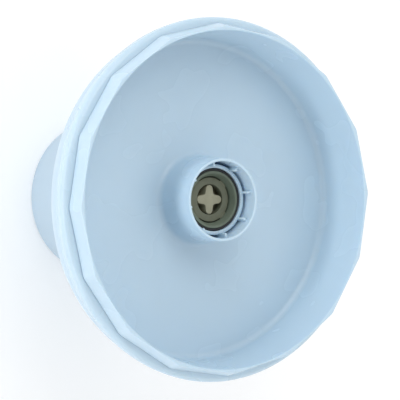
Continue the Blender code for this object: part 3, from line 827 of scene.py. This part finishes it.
def dress_frame_nodes():
    """The frame's own inner nodes keep their shape and get a finished material."""
    finishes = {
        "black_rubber": BLACK,
        "white_foam": FOAM,
        "stainless": STEEL,
    }
    slots = {row["node"]: row["material_slot"] for row in frame["record"]["subparts"]}
    kept = ["canister_gasket", "lid_gasket", "poppet_seal", "float_foam", "dial_washer"]
    kept += [f"canister_screw_{number}" for number in range(1, 5)]
    for node in kept:
        mesh = frame["nodes"][node].data
        mesh.materials.clear()
        mesh.materials.append(finishes[slots[node]])


# Stage


def make_floor():
    """A plain white floor that glows a little, as a sheet lit from below does."""
    reach = 4000.0
    bm = bmesh.new()
    corners = [bm.verts.new((x, y, 0.0)) for x, y in block((-reach, reach), (-reach, reach))]
    bm.faces.new(corners)
    n = Nodes("floor")
    cloud = n.between(n.noise(3.0), 0.0, 1.0)
    n.link(n.mix(cloud, (0.92, 0.92, 0.92), (0.94, 0.94, 0.94)), n.shader, "Base Color")
    n.shader.inputs["Roughness"].default_value = 0.9
    n.shader.inputs["Emission Color"].default_value = (1.0, 1.0, 1.0, 1.0)
    n.shader.inputs["Emission Strength"].default_value = 0.1
    build_object("floor", bm, n.material)


def camera_axes():
    """The camera's right, up and back directions: it looks down into the dish, rolled a quarter turn."""
    tilt, lean = math.radians(33.8), math.radians(-0.8)
    right = Vector((math.cos(tilt), -math.sin(lean) * math.sin(tilt), math.sin(tilt) * math.cos(lean)))
    up = Vector((0.0, math.cos(lean), math.sin(lean)))
    back = Vector((-math.sin(tilt), -math.sin(lean) * math.cos(tilt), math.cos(tilt) * math.cos(lean)))
    return right, up, back


def make_camera():
    distance = 12.0  # in rim radii
    aside = 0.186  # how far the rim's middle is from the picture's middle, in rim radii
    rim_share = 169.45 / 400  # the rim's radius over the picture's width
    unit = RIM_RADIUS * MM
    right, up, back = camera_axes()
    data = bpy.data.cameras.new("camera")
    data.sensor_width = 36.0
    data.lens = data.sensor_width * rim_share * distance
    data.clip_end = 20.0
    camera = bpy.data.objects.new("camera", data)
    place = Vector((0.0, 0.0, HEIGHT * MM)) + (back * distance - right * aside) * unit
    turn = Matrix((right, up, back)).transposed().to_4x4()
    camera.matrix_world = Matrix.Translation(place) @ turn
    bpy.context.scene.collection.objects.link(camera)
    bpy.context.scene.camera = camera


def area_light(name, direction, width, height, power):
    """A soft box that stands 1.5 m off and faces the object."""
    target = Vector((0.0, 0.0, 0.1))
    data = bpy.data.lights.new(name, "AREA")
    data.shape = "RECTANGLE"
    data.size = width
    data.size_y = height
    data.energy = power
    light = bpy.data.objects.new(name, data)
    light.location = target + direction.normalized() * 1.5
    light.rotation_euler = (target - light.location).to_track_quat("-Z", "Y").to_euler()
    bpy.context.scene.collection.objects.link(light)


def studio_world():
    """White surroundings that are dimmer above the side that the camera looks from."""
    world = bpy.data.worlds.new("studio")
    world.use_nodes = True
    nodes, links = world.node_tree.nodes, world.node_tree.links
    direction = nodes.new("ShaderNodeTexCoord").outputs["Generated"]
    toward = nodes.new("ShaderNodeVectorMath")
    toward.operation = "DOT_PRODUCT"
    toward.inputs[1].default_value = Vector((-0.8, 0.1, 0.6)).normalized()
    links.new(direction, toward.inputs[0])
    strength = nodes.new("ShaderNodeMapRange")
    strength.inputs["From Min"].default_value = 0.3
    strength.inputs["From Max"].default_value = 0.95
    strength.inputs["To Min"].default_value = 1.04
    strength.inputs["To Max"].default_value = 0.3
    links.new(toward.outputs["Value"], strength.inputs["Value"])
    links.new(strength.outputs["Result"], nodes["Background"].inputs["Strength"])
    nodes["Background"].inputs["Color"].default_value = (1.0, 1.0, 1.0, 1.0)
    return world


def make_lights():
    """A soft key, a long low strip that shines in over the rim, and a weak light from the far side."""
    right, up, back = camera_axes()
    area_light("key", back * 0.77 + right * 0.22 + up * 0.6, 0.9, 0.9, 5.8)
    area_light("side", back * 0.79 - right * 0.68 - up * 0.1, 2.4, 0.16, 13.0)
    area_light("under", back * 0.1 + right * 0.8 - up * 0.75, 0.8, 0.8, 0.7)
    bpy.context.scene.world = studio_world()
    bpy.context.scene.view_settings.view_transform = "Standard"


make_camera()
make_lights()
make_floor()
make_lid()
make_boss_ribs()
make_threads()
make_rim_ring()
make_pan()
make_foam_cover()
make_canister()
make_grate()
make_dial()
make_dial_screw()
make_valve_body()
make_o_ring()
make_retainer()
make_poppet()
make_spring()
dress_frame_nodes()
